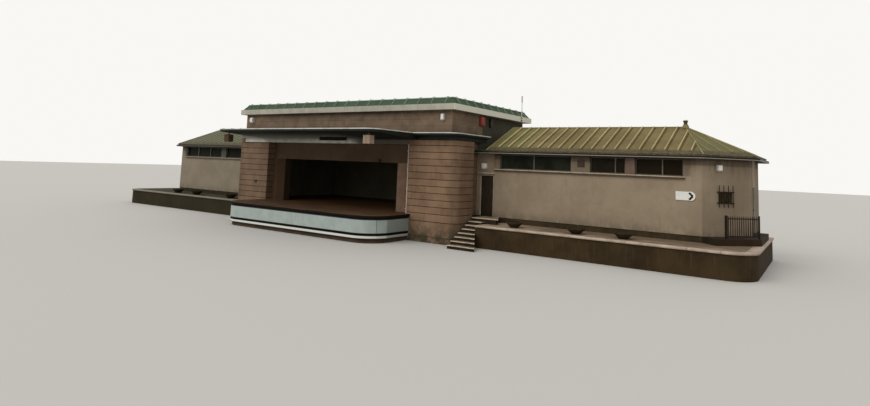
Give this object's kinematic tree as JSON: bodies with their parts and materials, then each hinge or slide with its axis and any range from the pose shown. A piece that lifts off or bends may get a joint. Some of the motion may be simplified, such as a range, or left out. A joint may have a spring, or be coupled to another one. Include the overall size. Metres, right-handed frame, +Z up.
{
  "type": "half scale model of a park bandstand building",
  "caption": "Stone-faced stage block with a thin cantilevered canopy, curved apron and low copper roof, between two hip-roofed wings on raised terraces with steps.",
  "frame": {"origin": "on the ground, on the symmetry plane, in line with the front faces of the two piers that frame the stage opening", "axes": "+X to the right along the front as seen from the audience, +Y back into the building, +Z up"},
  "size_m": [21.395, 6.0175, 4.01],
  "materials": {
    "stone": "rough ashlar facing",
    "render": "pale weathered render",
    "grey_wall": "dark weathered render",
    "plinth": "mossy rubble",
    "deck": "worn floor",
    "panel": "painted board, dirty",
    "base": "dark recess",
    "beam": "matt",
    "canopy": "matt dark",
    "metal_edge": "folded sheet",
    "fascia": "matt off-white",
    "copper_green": "verdigris sheet",
    "wing_sheet": "weathered standing-seam sheet",
    "gutter": "satin",
    "glass": "dark",
    "coping": "pale stone",
    "steps": "worn concrete",
    "iron": "dark matt",
    "sign": "satin white",
    "fitting": "satin",
    "door": "matt grey-brown"
  },
  "bodies": {
    "building": {"stage_base": "base", "apron_panels": "panel", "stage_deck": "deck", "piers": "stone", "jamb_walls": "stone", "lintel_wall": "grey_wall", "lintel_beam": "beam", "canopy": "canopy", "canopy_edging": "metal_edge", "attic_wall": "stone", "left_side_wall": "stone", "right_side_wall": "stone", "block_back_wall": "render", "roof_fascia": "fascia", "main_roof": "copper_green", "wing_plinths": "plinth", "wing_floors": "steps", "left_front_wall": "render", "right_front_wall": "render", "left_rear_walls": "render", "right_cant_wall": "render", "right_rear_walls": "render", "gable_walls": "render", "left_link_wall": "render", "right_link_jambs": "render", "door_heads": "render", "link_roofs": "copper_green", "left_wing_roof": "wing_sheet", "right_wing_roof": "wing_sheet", "gutters": "gutter", "glazing": "glass", "sills": "coping", "terraces": "plinth", "copings": "coping", "left_landing": "steps", "right_steps": "steps", "end_landing": "steps", "railing": "iron", "planter_bowls": "steps", "window_grille": "iron", "sign_panel": "sign", "wall_fittings": "fitting", "pipe_and_mast": "fitting"},
    "link_leaf": {"link_door": "door"},
    "end_leaf": {"end_door": "door"}
  },
  "joints": [
    {"name": "link_door_hinge", "type": "hinge", "parent": "building", "child": "link_leaf", "pos_m": [4.038, 1.425, 0.645], "axis": [0, 0, 1], "range_deg": [0, 90]},
    {"name": "end_door_hinge", "type": "hinge", "parent": "building", "child": "end_leaf", "pos_m": [10.035, 2.708, 0.645], "axis": [0, 0, 1], "range_deg": [0, 90]}
  ]
}
